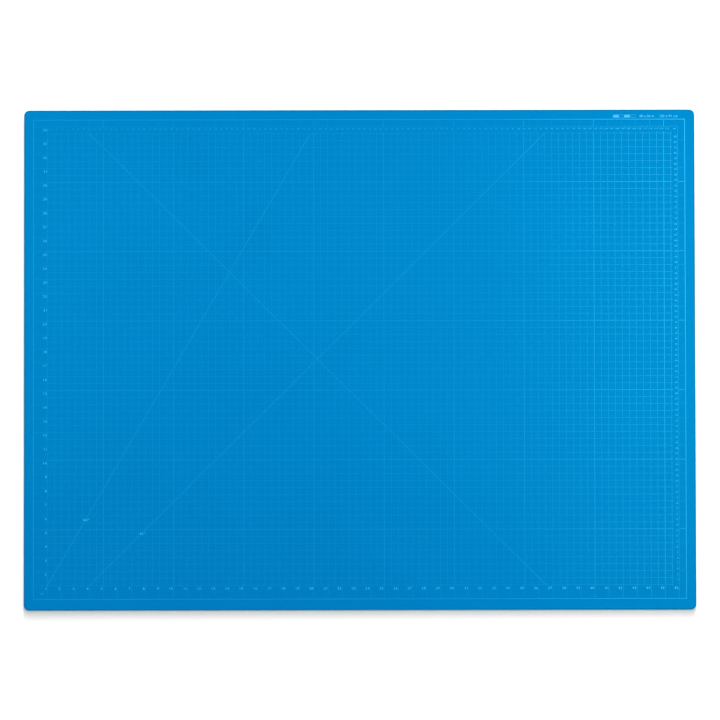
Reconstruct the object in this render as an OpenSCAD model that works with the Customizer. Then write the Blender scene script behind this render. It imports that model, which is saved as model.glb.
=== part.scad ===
// Self-healing cutting mat of the 48 x 36 inch class: five bonded PVC plies, with inch and
// centimetre rulers, a half-inch grid and angle guides printed on the top skin.
// Origin: centre of the underside. +X runs along the long side, +Y towards the top edge, +Z up.

/* [Mat] */
// Length of the long side
mat_w = 1216; // [1205:1:1260]
// Length of the short side
mat_d = 914; // [905:1:960]
// Radius of the four corners
corner_r = 10; // [3:0.5:14]

/* [Plies] */
// Thickness of the soft cutting skins, one on each face
skin_t = 0.8; // [0.5:0.05:1.2]
// Thickness of the two bonding plies beside the core
tie_t = 0.2; // [0.1:0.05:0.4]
// Thickness of the stiff middle ply
core_t = 1; // [0.6:0.1:2]

/* [Print] */
// Distance from the left edge of the mat to the rulers' zero
zero_x = 17.1; // [12:0.1:22]
// Distance from the bottom edge of the mat to the rulers' zero
zero_y = 19.9; // [12:0.1:24]
// Thickness of the ink film
ink_t = 0.05; // [0.03:0.01:0.1]
// Width of the inch and half-inch lines
hairline_w = 0.45; // [0.2:0.05:0.6]
// Width of the angle guides
guide_w = 0.6; // [0.3:0.05:0.9]
// Width of the centimetre rulers' lines and ticks
cm_line_w = 0.3; // [0.2:0.05:0.5]
// Width of the inch lines between a centimetre ruler and the border
thin_line_w = 0.2; // [0.1:0.05:0.4]
// Width of the line at every fifth inch
bold_w = 0.8; // [0.5:0.05:1.2]
// Width of the border line
border_w = 1.1; // [0.6:0.1:1.8]

/* [Numerals] */
// Height of the inch numerals
inch_digit_h = 4.4; // [3:0.1:5]
// Height of the centimetre numerals
cm_digit_h = 2.8; // [2:0.1:4]
// Height of the size legend's digits
legend_digit_h = 4.2; // [3:0.1:4.5]

/* [Hidden] */

inch = 25.4;
mat_t = 2 * skin_t + 2 * tie_t + core_t;

// Heights of the undersides of the plies, from the bottom up
lower_tie_z = skin_t;
core_z = lower_tie_z + tie_t;
upper_tie_z = core_z + core_t;
top_skin_z = upper_tie_z + tie_t;

// The printed frame, in inches from the rulers' zero
border_n = 46.5;
border_m = 34.5;
grid_start = 1;
grid_end_n = 45.5;
grid_end_m = 33.5;
grid_h = grid_end_m - grid_start;
side_ruler_n = 46;
top_ruler_m = 34;
line_overrun = 0.12;
bold_every = 5;

// Where the two 45 degree guides start, and the labels' places [n, m] on the rising guides
guide_45_n = 4;
label_45 = [7.8, 4.71];
label_60 = [3.74, 5.7];
label_room = 0.48;

// The centimetre scales count from a few millimetres beside the inch zero
cm_shift_top = 0.32;
cm_shift_side = -0.2;
first_cm_top = 3;
last_cm_top = 115;
first_cm_side = 4;
last_cm_side = 85;
cm_tick_l = 4;
half_cm_tick_l = 2;

// Numerals stand beside their line or tick: rows and columns in inches, distances in millimetres
bottom_row_m = 0.77;
bottom_gap = 2;
left_gap = 1.3;
left_drop = 5.4;
top_row_m = 33.83;
top_gap = 1;
side_column_end_n = 45.92;
side_drop = 3.7;

// Lower left corners [n, m] of the signs outside the grid
inch_sign_at = [0.54, 0.34];
cm_sign_at = [45.7, 33.78];
scale_bar_at = [41.4, 34.62];
inch_legend_at = [43.26, 34.65];
cm_legend_at = [44.86, 34.65];
scale_bar_h = 5;
scale_bar_pen = 0.4;

// Which bars each digit uses: top, upper left, upper right, middle, lower left, lower right, bottom
BARS = [
    [1, 1, 1, 0, 1, 1, 1],
    [0, 0, 1, 0, 0, 1, 0],
    [1, 0, 1, 1, 1, 0, 1],
    [1, 0, 1, 1, 0, 1, 1],
    [0, 1, 1, 1, 0, 1, 0],
    [1, 1, 0, 1, 0, 1, 1],
    [1, 1, 0, 1, 1, 1, 1],
    [1, 0, 1, 0, 0, 1, 0],
    [1, 1, 1, 1, 1, 1, 1],
    [1, 1, 1, 1, 0, 1, 1]
];
// Digit width, stroke width and advance, and the small letters' height, as shares of a digit's height
digit_w = 0.52;
stroke_w = 0.12;
digit_step = 0.86;
small_h = 0.68;

// Mat coordinates of a place given in inches from the rulers' zero
function at_n(n) = zero_x + n * inch - mat_w / 2;
function at_m(m) = zero_y + m * inch - mat_d / 2;
function cm_x(c) = at_n(0) + 10 * (c + cm_shift_top);
function cm_y(c) = at_m(0) + 10 * (c + cm_shift_side);
function digits(number) = [for (c = str(number)) ord(c) - ord("0")];
function number_w(number, h) = h * (digit_step * (len(digits(number)) - 1) + digit_w);

module on_top() {
    color("lightskyblue") translate([0, 0, mat_t]) linear_extrude(ink_t) children();
}

module ply(z, t, tint) {
    color(tint) translate([0, 0, z]) linear_extrude(t) mat_outline();
}

module mat_outline() {
    straight_w = mat_w - 2 * corner_r;
    straight_d = mat_d - 2 * corner_r;
    square([straight_w, mat_d], center = true);
    square([mat_w, straight_d], center = true);
    for (x = [-1, 1], y = [-1, 1])
        translate([x * straight_w / 2, y * straight_d / 2]) circle(corner_r, $fn = 48);
}

// Lines drawn between places given in inches
module line_up(n, m0, m1, w = hairline_w) {
    translate([at_n(n) - w / 2, at_m(m0)]) square([w, (m1 - m0) * inch]);
}

module line_across(m, n0, n1, w = hairline_w) {
    translate([at_n(n0), at_m(m) - w / 2]) square([(n1 - n0) * inch, w]);
}

// A stretch of the slanted line through [n, m], from and to in inches along it
module slanted_line(n, m, angle, from, to) {
    translate([at_n(n), at_m(m)]) rotate(angle)
        translate([from * inch, -guide_w / 2]) square([(to - from) * inch, guide_w]);
}

// A rising guide from the foot of the grid to its top, left open where its label stands
module labelled_guide(n, angle, label) {
    label_s = (label[1] - grid_start) / sin(angle);
    slanted_line(n, grid_start, angle, 0, label_s - label_room / 2);
    slanted_line(n, grid_start, angle, label_s + label_room / 2, grid_h / sin(angle));
}

// One digit, its lower left corner at the origin
module digit(value, h) {
    w = digit_w * h;
    s = stroke_w * h;
    lit = BARS[value];
    half = (h + s) / 2;
    if (lit[0]) translate([0, h - s]) square([w, s]);
    if (lit[1]) translate([0, h - half]) square([s, half]);
    if (lit[2]) translate([w - s, h - half]) square([s, half]);
    if (lit[3]) translate([0, half - s]) square([w, s]);
    if (lit[4]) square([s, half]);
    if (lit[5]) translate([w - s, 0]) square([s, half]);
    if (lit[6]) square([w, s]);
}

// A number that ends at x and is centred on y, both in millimetres
module number_left_of(number, x, y, h) {
    ds = digits(number);
    for (i = [0 : len(ds) - 1])
        translate([x - number_w(number, h) + i * digit_step * h, y - h / 2]) digit(ds[i], h);
}

// Square letters for the units, h high, with a pen of width s
module letter_i(h, s) {
    square([s, small_h * h]);
    translate([0, h - s]) square([s, s]);
}

// An arch with the given number of bays: one for n, two for m
module arches(bays, bay_w, h, s) {
    for (i = [0 : bays])
        translate([i * bay_w, 0]) square([s, small_h * h]);
    translate([0, small_h * h - s]) square([bays * bay_w + s, s]);
}

module letter_c(h, s) {
    w = 0.5 * h;
    square([s, small_h * h]);
    square([w, s]);
    translate([0, small_h * h - s]) square([w, s]);
}

module inch_sign(h) {
    s = stroke_w * h;
    letter_i(h, s);
    translate([0.35 * h, 0]) arches(1, 0.45 * h, h, s);
}

module cm_sign(h) {
    s = stroke_w * h;
    letter_c(h, s);
    translate([0.68 * h, 0]) arches(2, 0.38 * h, h, s);
}

module times_sign(h) {
    s = stroke_w * h;
    translate([0.25 * h, small_h * h / 2])
        for (angle = [45, -45])
            rotate(angle) square([0.6 * h, s], center = true);
}

module degree_sign(h) {
    translate([0, h]) difference() {
        circle(0.2 * h, $fn = 24);
        circle(0.1 * h, $fn = 24);
    }
}

// The five plies
module top_cutting_skin() {
    ply(top_skin_z, skin_t, "dodgerblue");
}

module upper_tie_ply() {
    ply(upper_tie_z, tie_t, "royalblue");
}

module rigid_core() {
    ply(core_z, core_t, "lightsteelblue");
}

module lower_tie_ply() {
    ply(lower_tie_z, tie_t, "royalblue");
}

module underside_skin() {
    ply(0, skin_t, "dodgerblue");
}

// The print
module border_line() {
    on_top() difference() {
        border_outline(border_w / 2);
        border_outline(-border_w / 2);
    }
}

module border_outline(grow) {
    translate([at_n(0) - grow, at_m(0) - grow])
        square([border_n * inch + 2 * grow, border_m * inch + 2 * grow]);
}

module ruler_base_lines() {
    on_top() {
        line_up(grid_start, 0, top_ruler_m);
        line_across(grid_start, 0, grid_end_n);
        line_up(side_ruler_n, 0, top_ruler_m, cm_line_w);
        line_across(top_ruler_m, 0, side_ruler_n, cm_line_w);
    }
}

// A line starts thin at the border, crosses the grid and goes on past the row or column of centimetre numerals
module inch_line_up(n, grid_w, far_w) {
    line_up(n, 0, grid_start);
    line_up(n, grid_start - line_overrun, grid_end_m + line_overrun, grid_w);
    line_up(n, top_ruler_m, border_m, far_w);
}

module inch_line_across(m, grid_w, far_w) {
    line_across(m, 0, grid_start);
    line_across(m, grid_start - line_overrun, grid_end_n + line_overrun, grid_w);
    line_across(m, side_ruler_n, border_n, far_w);
}

module inch_verticals() {
    on_top() for (n = [grid_start + 1 : grid_end_n])
        if (n % bold_every != 0) inch_line_up(n, hairline_w, thin_line_w);
}

module inch_horizontals() {
    on_top() for (m = [grid_start + 1 : grid_end_m])
        if (m % bold_every != 0) inch_line_across(m, hairline_w, thin_line_w);
}

// Half-inch lines end just outside the grid's outer lines
module half_inch_verticals() {
    on_top() for (n = [grid_start + 0.5 : grid_end_n])
        line_up(n, grid_start - line_overrun, grid_end_m + line_overrun);
}

module half_inch_horizontals() {
    on_top() for (m = [grid_start + 0.5 : grid_end_m])
        line_across(m, grid_start - line_overrun, grid_end_n + line_overrun);
}

module five_inch_verticals() {
    on_top() for (n = [bold_every : bold_every : grid_end_n])
        inch_line_up(n, bold_w, bold_w);
}

module five_inch_horizontals() {
    on_top() for (m = [bold_every : bold_every : grid_end_m])
        inch_line_across(m, bold_w, bold_w);
}

// Angle guides cross the grid from its foot to its top, or from its top to its foot
module rising_45_line() {
    on_top() labelled_guide(guide_45_n, 45, label_45);
}

module falling_45_line() {
    on_top() slanted_line(guide_45_n, grid_end_m, -45, 0, grid_h / sin(45));
}

module rising_60_line() {
    on_top() labelled_guide(grid_start, 60, label_60);
}

module angle_label(value, place) {
    h = inch_digit_h;
    degree_room = 0.45 * h;
    end_x = at_n(place[0]) + (number_w(value, h) - degree_room) / 2;
    number_left_of(value, end_x, at_m(place[1]), h);
    translate([end_x + degree_room / 2, at_m(place[1]) - h / 2]) degree_sign(h);
}

module angle_labels() {
    on_top() {
        angle_label(45, label_45);
        angle_label(60, label_60);
    }
}

// Numerals sit just before their line, to the left of it or below it
module bottom_inch_numerals() {
    on_top() for (n = [1 : side_ruler_n])
        number_left_of(n, at_n(n) - bottom_gap, at_m(bottom_row_m), inch_digit_h);
}

module left_inch_numerals() {
    on_top() for (m = [2 : top_ruler_m])
        number_left_of(m, at_n(grid_start) - left_gap, at_m(m) - left_drop, inch_digit_h);
}

module top_cm_numerals() {
    on_top() for (c = [first_cm_top : last_cm_top])
        number_left_of(c, cm_x(c) - top_gap, at_m(top_row_m), cm_digit_h);
}

module side_cm_numerals() {
    on_top() for (c = [first_cm_side : last_cm_side])
        number_left_of(c, at_n(side_column_end_n), cm_y(c) - side_drop, cm_digit_h);
}

// Centimetre and half-centimetre ticks hang from the top ruler line and from the side ruler line
function tick_l(half_cm) = half_cm % 2 == 0 ? cm_tick_l : half_cm_tick_l;

module top_cm_ticks() {
    on_top() for (k = [2 * first_cm_top : 2 * last_cm_top])
        translate([cm_x(k / 2) - cm_line_w / 2, at_m(top_ruler_m) - tick_l(k)])
            square([cm_line_w, tick_l(k)]);
}

module side_cm_ticks() {
    on_top() for (k = [2 * first_cm_side : 2 * last_cm_side])
        translate([at_n(side_ruler_n) - tick_l(k), cm_y(k / 2) - cm_line_w / 2])
            square([tick_l(k), cm_line_w]);
}

// Moves a sign's lower left corner to a place given in inches
module sign_at(place) {
    translate([at_n(place[0]), at_m(place[1])]) children();
}

module unit_labels() {
    on_top() {
        sign_at(inch_sign_at) inch_sign(inch_digit_h);
        sign_at(cm_sign_at) cm_sign(cm_digit_h);
    }
}

// Map-style scale bar of four centimetres: filled and open blocks in turn
module scale_bar() {
    pen = scale_bar_pen;
    on_top() sign_at(scale_bar_at)
        for (i = [0 : 3])
            translate([10 * i, 0]) difference() {
                square([10 + pen, scale_bar_h]);
                if (i % 2 == 1) translate([pen, pen]) square([10 - pen, scale_bar_h - 2 * pen]);
            }
}

// Size legend: 48 x 36 in, 122 x 91 cm, with a unit sign as the child
module size_group(long, short) {
    h = legend_digit_h;
    space = 0.4 * h;
    long_end = number_w(long, h);
    times_w = 0.5 * h;
    short_end = long_end + 2 * space + times_w + number_w(short, h);
    number_left_of(long, long_end, h / 2, h);
    translate([long_end + space, 0]) times_sign(h);
    number_left_of(short, short_end, h / 2, h);
    translate([short_end + space, 0]) children();
}

module size_legend() {
    on_top() {
        sign_at(inch_legend_at) size_group(48, 36) inch_sign(legend_digit_h);
        sign_at(cm_legend_at) size_group(122, 91) cm_sign(legend_digit_h);
    }
}

top_cutting_skin();
upper_tie_ply();
rigid_core();
lower_tie_ply();
underside_skin();
border_line();
ruler_base_lines();
inch_verticals();
inch_horizontals();
half_inch_verticals();
half_inch_horizontals();
five_inch_verticals();
five_inch_horizontals();
rising_45_line();
falling_45_line();
rising_60_line();
angle_labels();
bottom_inch_numerals();
left_inch_numerals();
top_cm_numerals();
side_cm_numerals();
top_cm_ticks();
side_cm_ticks();
unit_labels();
scale_bar();
size_legend();
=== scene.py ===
"""Looks of the self-healing cutting mat: five PVC plies with a printed face, lying on a pale studio floor."""

import math

import bmesh
import bpy
from mathutils import Matrix, Vector


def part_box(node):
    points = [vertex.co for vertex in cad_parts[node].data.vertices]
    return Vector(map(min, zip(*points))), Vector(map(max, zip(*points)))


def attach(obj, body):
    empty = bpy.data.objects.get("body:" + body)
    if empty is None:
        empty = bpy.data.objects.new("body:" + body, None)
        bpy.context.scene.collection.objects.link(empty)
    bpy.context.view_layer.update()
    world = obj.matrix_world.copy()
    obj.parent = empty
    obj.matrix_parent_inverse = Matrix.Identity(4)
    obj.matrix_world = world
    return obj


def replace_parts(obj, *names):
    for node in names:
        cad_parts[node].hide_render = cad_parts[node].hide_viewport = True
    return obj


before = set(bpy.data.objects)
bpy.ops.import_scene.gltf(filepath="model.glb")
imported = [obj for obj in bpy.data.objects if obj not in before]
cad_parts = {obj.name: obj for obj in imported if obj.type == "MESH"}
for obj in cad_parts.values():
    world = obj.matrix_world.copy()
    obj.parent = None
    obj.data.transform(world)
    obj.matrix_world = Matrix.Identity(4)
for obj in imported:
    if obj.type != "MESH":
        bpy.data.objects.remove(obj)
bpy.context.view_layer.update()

MM = 0.001
INCH = 25.4 * MM

# The mat's own sizes, as in the CAD
CORNER_R = 10 * MM
MAT_LOW, MAT_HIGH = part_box("top_cutting_skin")
HALF_W = MAT_HIGH.x
HALF_D = MAT_HIGH.y
MAT_TOP = MAT_HIGH.z
INK_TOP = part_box("border_line")[1].z

# The rulers' zero is where the first grid lines start, at the border
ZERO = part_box("ruler_base_lines")[0]
SIDE_RULER_N = 46
TOP_RULER_M = 34
CM_SHIFT_TOP = 3.2 * MM
CM_SHIFT_SIDE = -2 * MM
FIRST_CM_TOP, LAST_CM_TOP = 3, 115
FIRST_CM_SIDE, LAST_CM_SIDE = 4, 85
# How far the CAD's degree sign rises above its digits, and its small letters' height, as shares of a digit
DEGREE_RISE = 0.2
SMALL_LETTER = 0.68
# How far the ink spreads around the strokes of the letters
INCH_SWELL = 0.06 * MM
CM_SWELL = 0.03 * MM
LEGEND_SWELL = 0.15 * MM
# Advance from letter to letter, against the font's own
RULER_SPACING = 1.25
LEGEND_SPACING = 1.1
# Left of this inch no sheen is painted into the ink; to its right the painted sheen grows towards the right
# edge
SHEEN_START_N = 33


def at_n(n):
    """X of a place given in inches from the rulers' zero."""
    return ZERO.x + n * INCH


def at_m(m):
    """Y of a place given in inches from the rulers' zero."""
    return ZERO.y + m * INCH


def cm_x(c):
    """X of a centimetre tick of the top ruler."""
    return at_n(0) + c * 10 * MM + CM_SHIFT_TOP


def cm_y(c):
    """Y of a centimetre tick of the side ruler."""
    return at_m(0) + c * 10 * MM + CM_SHIFT_SIDE


# ---------------------------------------------------------------- materials


class Graph:
    """A material's node tree, with short calls for the nodes used here."""

    def __init__(self, name):
        self.material = bpy.data.materials.new(name)
        self.material.use_nodes = True
        self.nodes = self.material.node_tree.nodes
        self.links = self.material.node_tree.links
        self.shader = self.nodes["Principled BSDF"]
        self.place = self.nodes.new("ShaderNodeTexCoord").outputs["Object"]

    def put(self, value, socket):
        """Links or sets a socket."""
        if isinstance(value, bpy.types.NodeSocket):
            self.links.new(value, socket)
        else:
            socket.default_value = value

    def math(self, operation, *values, clamp=False):
        node = self.nodes.new("ShaderNodeMath")
        node.operation = operation
        node.use_clamp = clamp
        for value, socket in zip(values, node.inputs):
            self.put(value, socket)
        return node.outputs[0]

    def vector(self, operation, *values):
        node = self.nodes.new("ShaderNodeVectorMath")
        node.operation = operation
        for value, socket in zip(values, node.inputs):
            self.put(value, socket)
        return node.outputs["Value" if operation == "LENGTH" else "Vector"]

    def noise(self, scale, detail=2.0, roughness=0.5):
        node = self.nodes.new("ShaderNodeTexNoise")
        self.put(self.place, node.inputs["Vector"])
        node.inputs["Scale"].default_value = scale
        node.inputs["Detail"].default_value = detail
        node.inputs["Roughness"].default_value = roughness
        return node.outputs["Fac"]

    def cells(self, scale):
        """Distance to the middle of the nearest cell, for a pebbled grain."""
        node = self.nodes.new("ShaderNodeTexVoronoi")
        node.feature = "SMOOTH_F1"
        node.inputs["Smoothness"].default_value = 0.6
        self.put(self.place, node.inputs["Vector"])
        node.inputs["Scale"].default_value = scale
        return node.outputs["Distance"]

    def spread(self, value, low, high, to_low, to_high):
        node = self.nodes.new("ShaderNodeMapRange")
        for given, name in zip(
            (value, low, high, to_low, to_high),
            ("Value", "From Min", "From Max", "To Min", "To Max"),
        ):
            self.put(given, node.inputs[name])
        return node.outputs["Result"]

    def mix(self, share, first, second):
        node = self.nodes.new("ShaderNodeMix")
        node.data_type = "RGBA"
        self.put(share, node.inputs[0])
        self.put(first, node.inputs[6])
        self.put(second, node.inputs[7])
        return node.outputs[2]

    def bump(self, height, distance, strength=1.0):
        node = self.nodes.new("ShaderNodeBump")
        node.inputs["Distance"].default_value = distance
        node.inputs["Strength"].default_value = strength
        self.put(height, node.inputs["Height"])
        self.put(node.outputs["Normal"], self.shader.inputs["Normal"])

    def polish(self):
        """Gives the surface the cool sheen of the printed face."""
        self.shader.inputs["IOR"].default_value = SHEEN_IOR
        self.shader.inputs["Specular IOR Level"].default_value = SHEEN
        self.shader.inputs["Specular Tint"].default_value = SHEEN_TINT

    def parts(self, vector):
        """X, Y and Z of a vector."""
        node = self.nodes.new("ShaderNodeSeparateXYZ")
        self.put(vector, node.inputs[0])
        return node.outputs

    def edge_distance(self):
        """How far inside the mat's rounded outline a point lies."""
        corner = (HALF_W - CORNER_R, HALF_D - CORNER_R, 1)
        beyond = self.vector("SUBTRACT", self.vector("ABSOLUTE", self.place), corner)
        outer = self.vector("LENGTH", self.vector("MAXIMUM", beyond, (0, 0, 0)))
        x, y, _ = self.parts(beyond)
        inner = self.math("MINIMUM", self.math("MAXIMUM", x, y), 0.0)
        return self.math("SUBTRACT", CORNER_R, self.math("ADD", outer, inner))

    def print_strength(self):
        """Painted sheen on the ink: 1 at the upper right, falling to 0 over the left two thirds and to 0.45
        towards the bottom.
        """
        x, y, _ = self.parts(self.place)
        along = self.spread(x, at_n(SHEEN_START_N), at_n(SIDE_RULER_N), 0.0, 1.0)
        up = self.spread(y, at_m(0), at_m(TOP_RULER_M), 0.45, 1.0)
        return self.math("MULTIPLY", along, up)


def rgb(r, g, b):
    return (r, g, b, 1.0)


def shade(colour, by):
    return rgb(*(c * by for c in colour))


SKIN_BLUE = (0.0, 0.118, 0.443)
# Colour of the painted highlight along the mat's outer edge
EDGE_HIGHLIGHT = rgb(0.02, 0.36, 0.68)
SHEEN = 1.0
SHEEN_IOR = 1.73
SHEEN_TINT = rgb(0.0, 1.0, 0.85)
# The red that is left in the ink where no sheen is painted into it, as a share
UNLIT_INK_RED = 0.55


def skin_material():
    """Blue PVC with a fine pebbled grain and faint mottling, a painted shade in a dark band just inside the
    rolled edge, and a painted highlight on the outer cut edge.
    """
    g = Graph("pvc_skin")
    mottle = g.noise(6.0, 3.0)
    speck = g.noise(1500.0, 2.0)
    mixed = g.math("ADD", g.math("MULTIPLY", mottle, 0.6), g.math("MULTIPLY", speck, 0.4))
    tone = g.spread(mixed, 0.3, 0.7, 0.0, 1.0)
    body = g.mix(tone, shade(SKIN_BLUE, 0.97), shade(SKIN_BLUE, 1.03))
    inside = g.edge_distance()
    # Painted shade: a dark band over the rolled edge and up to 2.1 mm inside the outline
    shoulder_shade = g.spread(inside, 1.2 * MM, 2.1 * MM, 0.9, 0.0)
    # Painted highlight: the outer 0.6 mm of the edge turns pale, as if catching the light
    edge_highlight_share = g.spread(inside, 0.3 * MM, 0.6 * MM, 1.0, 0.0)
    shaded_shoulder = g.mix(shoulder_shade, body, shade(SKIN_BLUE, 0.3))
    g.put(g.mix(edge_highlight_share, shaded_shoulder, EDGE_HIGHLIGHT), g.shader.inputs["Base Color"])
    g.put(g.spread(g.noise(700.0, 2.0), 0.3, 0.7, 0.46, 0.56), g.shader.inputs["Roughness"])
    g.polish()
    grit = g.math("MULTIPLY", g.noise(2600.0, 2.0), 0.4)
    g.bump(g.math("ADD", g.cells(1400.0), grit), 0.06 * MM, 0.6)
    return g.material


def cut_material(name, colour, roughness):
    """The cut edge of an inner ply, with fine knife streaks along the thickness."""
    g = Graph(name)
    streaks = g.noise(900.0, 3.0, 0.6)
    share = g.spread(streaks, 0.3, 0.7, 0.0, 1.0)
    g.put(g.mix(share, shade(colour, 0.85), shade(colour, 1.15)), g.shader.inputs["Base Color"])
    g.put(g.spread(streaks, 0.3, 0.7, roughness - 0.06, roughness + 0.06), g.shader.inputs["Roughness"])
    g.shader.inputs["Specular Tint"].default_value = SHEEN_TINT
    g.bump(streaks, 0.04 * MM, 0.6)
    return g.material


def ink_material(name, colour, unlit_cover):
    """Screen-printed ink, thinner where the grain of the skin stands up, with a painted sheen that makes it
    fuller and redder towards the upper right and leaves it dim over the left of the mat.
    """
    g = Graph(name)
    # Share of the painted sheen, strongest at the upper right
    strength = g.print_strength()
    red, green, blue = colour
    unlit_ink = rgb(UNLIT_INK_RED * red, green, blue)
    ink = g.mix(strength, unlit_ink, rgb(red, green, blue))
    grain = g.spread(g.noise(1800.0, 3.0, 0.6), 0.35, 0.65, 0.86, 1.0)
    # Ink cover: the grain thins it everywhere, and the painted sheen fills it in towards the upper right
    cover_with_sheen = g.math("MULTIPLY", g.spread(strength, 0.0, 1.0, unlit_cover, 1.0), grain)
    g.put(g.mix(cover_with_sheen, rgb(*SKIN_BLUE), ink), g.shader.inputs["Base Color"])
    g.put(g.spread(g.noise(900.0, 2.0), 0.3, 0.7, 0.46, 0.54), g.shader.inputs["Roughness"])
    g.polish()
    g.bump(g.cells(1400.0), 0.04 * MM, 0.4)
    return g.material


def floor_material():
    g = Graph("studio_floor")
    tone = g.mix(g.noise(3.0, 2.0), rgb(0.86, 0.86, 0.86), rgb(0.89, 0.89, 0.89))
    g.put(tone, g.shader.inputs["Base Color"])
    g.put(g.spread(g.noise(40.0, 2.0), 0.3, 0.7, 0.75, 0.9), g.shader.inputs["Roughness"])
    g.shader.inputs["Specular IOR Level"].default_value = 0.1
    return g.material


SKIN = skin_material()
TIE = cut_material("tie_ply_edge", (0.0, 0.12, 0.32), 0.6)
CORE = cut_material("core_ply_edge", (0.34, 0.45, 0.52), 0.55)
LINE_INK = ink_material("line_ink", (0.035, 0.42, 0.86), 0.36)
GUIDE_INK = ink_material("guide_ink", (0.04, 0.43, 0.86), 0.48)
INCH_INK = ink_material("inch_numeral_ink", (0.12, 0.62, 1.0), 0.62)
LABEL_INK = ink_material("angle_label_ink", (0.08, 0.6, 1.0), 0.8)
CM_INK = ink_material("cm_numeral_ink", (0.07, 0.6, 1.0), 0.4)
SIGN_INK = ink_material("sign_ink", (0.1, 0.42, 0.85), 0.6)


# ---------------------------------------------------------------- mesh pieces


def finish_piece(bm, name, material, smooth=False):
    """Makes an object of a bmesh and lets it ride with the mat."""
    bmesh.ops.recalc_face_normals(bm, faces=bm.faces)
    mesh = bpy.data.meshes.new(name)
    bm.to_mesh(mesh)
    bm.free()
    mesh.materials.append(material)
    if smooth:
        mesh.shade_smooth()
    piece = bpy.data.objects.new(name, mesh)
    bpy.context.scene.collection.objects.link(piece)
    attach(piece, "root")
    return piece


def outline(inset, steps=16):
    """Points of the mat's rounded outline, moved inwards."""
    radius = CORNER_R - inset
    points = []
    for side_x, side_y, start in ((1, 1, 0), (-1, 1, 90), (-1, -1, 180), (1, -1, 270)):
        for i in range(steps + 1):
            angle = math.radians(start + 90 * i / steps)
            points.append((
                side_x * (HALF_W - CORNER_R) + radius * math.cos(angle),
                side_y * (HALF_D - CORNER_R) + radius * math.sin(angle),
            ))
    return points


def ply(name, node, material, profile):
    """A sheet whose edge follows a profile of (inset, height) pairs, from its underside to its upper face."""
    bm = bmesh.new()
    rings = [[bm.verts.new((x, y, z)) for x, y in outline(inset)] for inset, z in profile]
    for low, high in zip(rings, rings[1:]):
        for i in range(len(low)):
            j = (i + 1) % len(low)
            bm.faces.new((low[i], low[j], high[j], high[i]))
    bm.faces.new(rings[0])
    bm.faces.new(rings[-1])
    piece = finish_piece(bm, name, material, smooth=True)
    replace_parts(piece, node)
    return piece


def rolled_edge(z_flat, z_outer, roll_w, steps=6):
    """Quarter of an ellipse from the outline's side to a flat face, with a narrow flat ring after it."""
    arc = []
    for i in range(steps + 1):
        angle = math.radians(90 * i / steps)
        arc.append((roll_w * (1 - math.cos(angle)), z_outer + (z_flat - z_outer) * math.sin(angle)))
    return arc + [(roll_w + 0.4 * MM, z_flat)]


def plies():
    """The five plies. The stiff core stands back a little where the soft skins have spread over it."""
    low, high = (corner.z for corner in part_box("top_cutting_skin"))
    upper_edge = rolled_edge(high, high - 0.45 * MM, 0.8 * MM)
    profile = [(0.08 * MM, low), (0, low + 0.12 * MM)] + upper_edge
    ply("top_skin", "top_cutting_skin", SKIN, profile)
    low, high = (corner.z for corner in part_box("underside_skin"))
    lower_edge = rolled_edge(low, low + 0.2 * MM, 0.25 * MM)[::-1]
    profile = lower_edge + [(0, high - 0.12 * MM), (0.08 * MM, high)]
    ply("under_skin", "underside_skin", SKIN, profile)
    for name, node in (("upper_tie", "upper_tie_ply"), ("lower_tie", "lower_tie_ply")):
        low, high = (corner.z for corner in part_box(node))
        profile = [(0.1 * MM, low), (0.07 * MM, (low + high) / 2), (0.1 * MM, high)]
        ply(name, node, TIE, profile)
    low, high = (corner.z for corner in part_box("rigid_core"))
    proud = 0.06 * MM
    profile = [(0.12 * MM, low), (proud, low + 0.3 * MM), (proud, high - 0.3 * MM), (0.12 * MM, high)]
    ply("stiff_core", "rigid_core", CORE, profile)


def text_mesh(text, digit_h, swell, spacing):
    """Solid letters of the ink's thickness, on a baseline through the origin."""
    curve = bpy.data.curves.new("letters", "FONT")
    curve.body = "0"
    letters = bpy.data.objects.new("letters", curve)
    bpy.context.scene.collection.objects.link(letters)
    bpy.context.view_layer.update()
    curve.size = digit_h / letters.dimensions.y
    curve.body = text
    curve.offset = swell
    curve.space_character = spacing
    curve.extrude = (INK_TOP - MAT_TOP) / 2
    curve.resolution_u = 3
    graph = bpy.context.evaluated_depsgraph_get()
    mesh = bpy.data.meshes.new_from_object(letters.evaluated_get(graph))
    bpy.data.objects.remove(letters)
    bpy.data.curves.remove(curve)
    return mesh


def add_text(bm, text, digit_h, x, y, align="right", swell=INCH_SWELL, spacing=RULER_SPACING):
    """Adds swollen letters whose right or left end is at x and whose digits are centred on y."""
    mesh = text_mesh(text, digit_h, swell, spacing)
    xs = [v.co.x for v in mesh.vertices]
    anchor = {"right": max(xs), "left": min(xs)}[align]
    mesh.transform(Matrix.Translation((x - anchor, y - digit_h / 2, (INK_TOP + MAT_TOP) / 2)))
    bm.from_mesh(mesh)
    bpy.data.meshes.remove(mesh)


def write_numbers(name, node, ink, places, digit_h, swell):
    """Writes a ruler's numbers, given as (number, right end, middle height), in place of a CAD node."""
    bm = bmesh.new()
    for number, x, y in places:
        add_text(bm, str(number), digit_h, x, y, "right", swell)
    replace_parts(finish_piece(bm, name, ink), node)


def row_height(node):
    low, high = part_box(node)
    return high.y - low.y


def inch_rulers():
    """Inch numbers, each just before its line."""
    low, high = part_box("bottom_inch_numerals")
    digit_h = high.y - low.y
    row_y = (low.y + high.y) / 2
    gap = at_n(SIDE_RULER_N) - high.x
    row = [(n, at_n(n) - gap, row_y) for n in range(1, SIDE_RULER_N + 1)]
    write_numbers("inch_numerals_bottom", "bottom_inch_numerals", INCH_INK, row, digit_h, INCH_SWELL)
    _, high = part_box("left_inch_numerals")
    drop = at_m(TOP_RULER_M) - (high.y - digit_h / 2)
    column = [(m, high.x, at_m(m) - drop) for m in range(2, TOP_RULER_M + 1)]
    write_numbers("inch_numerals_left", "left_inch_numerals", INCH_INK, column, digit_h, INCH_SWELL)


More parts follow.
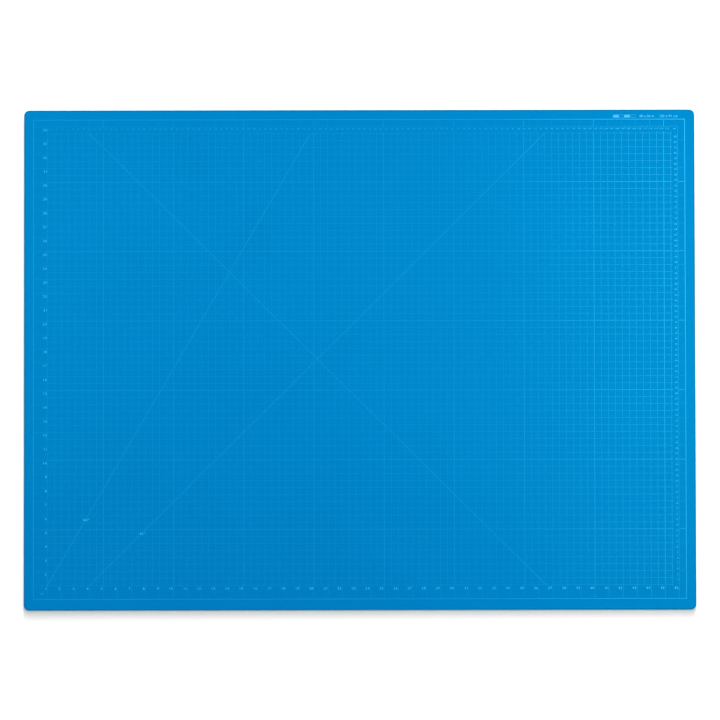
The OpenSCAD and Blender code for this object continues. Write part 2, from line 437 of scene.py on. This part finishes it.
def cm_rulers():
    """Centimetre numbers, each just before its tick."""
    low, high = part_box("top_cm_numerals")
    digit_h = high.y - low.y
    row_y = (low.y + high.y) / 2
    gap = cm_x(LAST_CM_TOP) - high.x
    row = [(c, cm_x(c) - gap, row_y) for c in range(FIRST_CM_TOP, LAST_CM_TOP + 1)]
    write_numbers("cm_numerals_top", "top_cm_numerals", CM_INK, row, digit_h, CM_SWELL)
    _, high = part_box("side_cm_numerals")
    drop = cm_y(LAST_CM_SIDE) - (high.y - digit_h / 2)
    column = [(c, high.x, cm_y(c) - drop) for c in range(FIRST_CM_SIDE, LAST_CM_SIDE + 1)]
    write_numbers("cm_numerals_side", "side_cm_numerals", CM_INK, column, digit_h, CM_SWELL)


def signs():
    """Unit signs, angle labels and the size legend, where the CAD has them."""
    inch_h = row_height("bottom_inch_numerals")
    cm_h = row_height("top_cm_numerals")
    bm = bmesh.new()
    low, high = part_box("unit_labels")
    add_text(bm, "in", inch_h, low.x, low.y + inch_h / 2, "left")
    cm_y0 = high.y - SMALL_LETTER * cm_h
    add_text(bm, "cm", cm_h, high.x, cm_y0 + cm_h / 2, "right", CM_SWELL)
    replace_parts(finish_piece(bm, "unit_signs", CM_INK), "unit_labels")
    bm = bmesh.new()
    low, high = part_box("angle_labels")
    add_text(bm, "60°", inch_h, low.x, high.y - DEGREE_RISE * inch_h - inch_h / 2, "left")
    add_text(bm, "45°", inch_h, high.x, low.y + inch_h / 2)
    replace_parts(finish_piece(bm, "angle_signs", LABEL_INK), "angle_labels")
    bm = bmesh.new()
    low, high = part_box("size_legend")
    legend_h = high.y - low.y
    middle = low.y + legend_h / 2
    add_text(bm, "48 x 36 in", legend_h, low.x, middle, "left", LEGEND_SWELL, LEGEND_SPACING)
    add_text(bm, "122 x 91 cm", legend_h, high.x, middle, "right", LEGEND_SWELL, LEGEND_SPACING)
    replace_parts(finish_piece(bm, "legend", SIGN_INK), "size_legend")


LINE_NODES = (
    "ruler_base_lines", "inch_verticals", "inch_horizontals", "half_inch_verticals", "half_inch_horizontals",
    "five_inch_verticals", "five_inch_horizontals", "top_cm_ticks", "side_cm_ticks", "border_line",
)
GUIDE_NODES = ("rising_45_line", "falling_45_line", "rising_60_line")


def ink_lines(nodes, ink):
    """Gives printed lines of the CAD their ink."""
    for node in nodes:
        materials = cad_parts[node].data.materials
        materials.clear()
        materials.append(ink)


plies()
inch_rulers()
cm_rulers()
signs()
ink_lines(LINE_NODES, LINE_INK)
ink_lines(GUIDE_NODES, GUIDE_INK)
ink_lines(["scale_bar"], SIGN_INK)


# ---------------------------------------------------------------- floor, light and camera


FLOOR_Z = -0.05 * MM


def studio_floor():
    bm = bmesh.new()
    half = 40
    for x, y in ((-half, -half), (half, -half), (half, half), (-half, half)):
        bm.verts.new((x, y, FLOOR_Z))
    bm.faces.new(bm.verts)
    mesh = bpy.data.meshes.new("floor")
    bm.to_mesh(mesh)
    bm.free()
    mesh.materials.append(floor_material())
    floor = bpy.data.objects.new("floor", mesh)
    bpy.context.scene.collection.objects.link(floor)


def add_light(name, kind, location, target, energy, **options):
    data = bpy.data.lights.new(name, kind)
    data.energy = energy
    for option, value in options.items():
        setattr(data, option, value)
    lamp = bpy.data.objects.new(name, data)
    lamp.location = location
    lamp.rotation_euler = (Vector(target) - Vector(location)).to_track_quat("-Z", "Y").to_euler()
    lamp.visible_camera = False
    bpy.context.scene.collection.objects.link(lamp)
    return lamp


def add_softbox(name, location, target, energy, width, height):
    add_light(name, "AREA", location, target, energy, shape="RECTANGLE", size=width, size_y=height)


def add_sun(name, turn, elevation, width, energy):
    """A sun of the given angular width, kept out of the gloss so that grazing views aren't burnt out."""
    turn = math.radians(turn)
    lift = math.radians(elevation)
    place = (math.sin(turn) * math.cos(lift), math.cos(turn) * math.cos(lift), math.sin(lift))
    lamp = add_light(name, "SUN", place, (0, 0, 0), energy, angle=math.radians(width))
    lamp.visible_glossy = False


def lights():
    """Low suns from behind throw the soft shadow, one in front lights the near edge, and boxes give sheen."""
    world = bpy.data.worlds.new("studio")
    world.use_nodes = True
    world.node_tree.nodes["Background"].inputs["Color"].default_value = rgb(1, 1, 1)
    world.node_tree.nodes["Background"].inputs["Strength"].default_value = 0.01
    bpy.context.scene.world = world
    add_sun("sun_hard", 4, 9, 5, 2.16)
    add_sun("sun_middle", 4, 12, 12, 3.21)
    add_sun("sun_soft", 4, 20, 24, 1.73)
    add_sun("sun_high", 30, 70, 60, 1.0)
    add_sun("sun_front", 180, 6, 6, 2.2)
    add_softbox("softbox_right", (1.3, 0.4, 2.2), (1.0, 0.2, 0), 3.2, 1.6, 2.4)
    add_softbox("softbox_right_low", (1.3, 0.3, 1.2), (0.9, 0.2, 0), 10.5, 1.2, 2.0)
    add_softbox("softbox_left", (-1.4, 0.4, 1.4), (-0.6, 0.2, 0), 8.4, 1.0, 2.0)
    add_softbox("softbox_top", (-0.3, 0.9, 1.5), (-0.3, 0.3, 0), 3.6, 2.6, 1.2)


def camera():
    """Looks down from far away, leaning a little towards the lower edge, as on a copy stand."""
    distance = 32.0
    lean = math.radians(7.85)
    roll = math.radians(-0.1)
    data = bpy.data.cameras.new("camera")
    data.sensor_width = 36
    data.lens = 883.4
    data.clip_start = 1
    data.clip_end = 100
    cam = bpy.data.objects.new("camera", data)
    turned = Matrix.Rotation(roll, 4, "Z") @ Matrix.Rotation(lean, 4, "X")
    cam.matrix_world = turned @ Matrix.Translation((0, 0, distance))
    cam.location.x += 0.63 * MM
    cam.location.y -= 0.63 * MM
    bpy.context.scene.collection.objects.link(cam)
    bpy.context.scene.camera = cam


studio_floor()
lights()
camera()
bpy.context.scene.view_settings.view_transform = "Standard"
